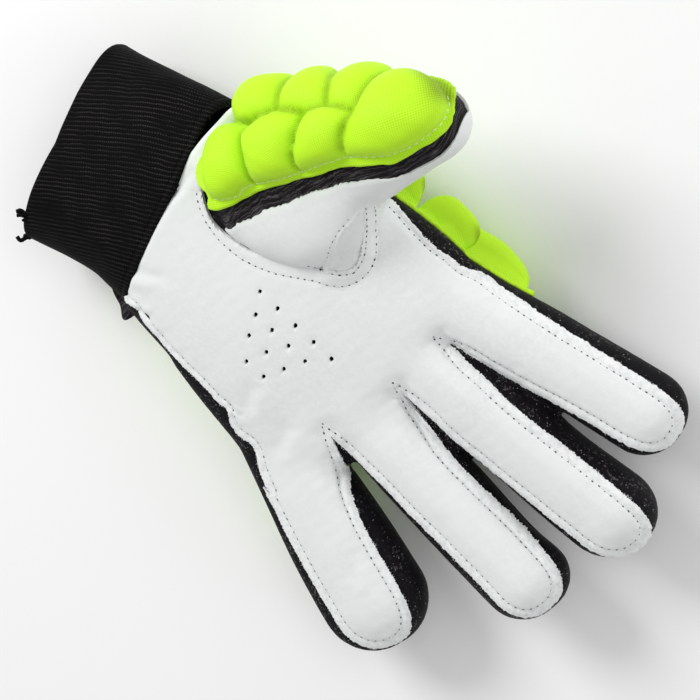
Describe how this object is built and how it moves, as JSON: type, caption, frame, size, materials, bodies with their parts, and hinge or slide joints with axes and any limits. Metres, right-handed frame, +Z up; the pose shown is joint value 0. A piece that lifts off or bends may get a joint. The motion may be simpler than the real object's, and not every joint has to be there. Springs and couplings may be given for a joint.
{
  "type": "field hockey glove",
  "caption": "Left-hand indoor field hockey glove with a leather palm, black fabric back, padded back and thumb, and a ribbed elastic cuff.",
  "frame": {"origin": "centre of the base of the bounding box, on the surface that the glove rests on", "axes": "+X from the cuff to the fingertips, +Y to the thumb side, +Z up, out of the palm"},
  "size_m": [0.2362, 0.1714, 0.0731],
  "materials": {
    "leather": "smooth matt white",
    "black_fabric": "matt black knit",
    "pad_fabric": "fine bright yellow-green mesh over foam",
    "ribbed_elastic": "black ribbed elastic"
  },
  "bodies": {
    "root": {"palm_leather": "leather", "thumb_leather": "leather", "thumb_gusset": "leather", "thumb_side_fabric": "black_fabric", "back_fabric": "black_fabric", "fourchette_index_middle": "black_fabric", "fourchette_middle_ring": "black_fabric", "fourchette_ring_little": "black_fabric", "thumb_pad": "pad_fabric", "hand_back_pad": "pad_fabric", "index_pad": "pad_fabric", "middle_pad": "pad_fabric", "ring_pad": "pad_fabric", "little_pad": "pad_fabric", "wrist_cuff": "ribbed_elastic"}
  },
  "joints": []
}
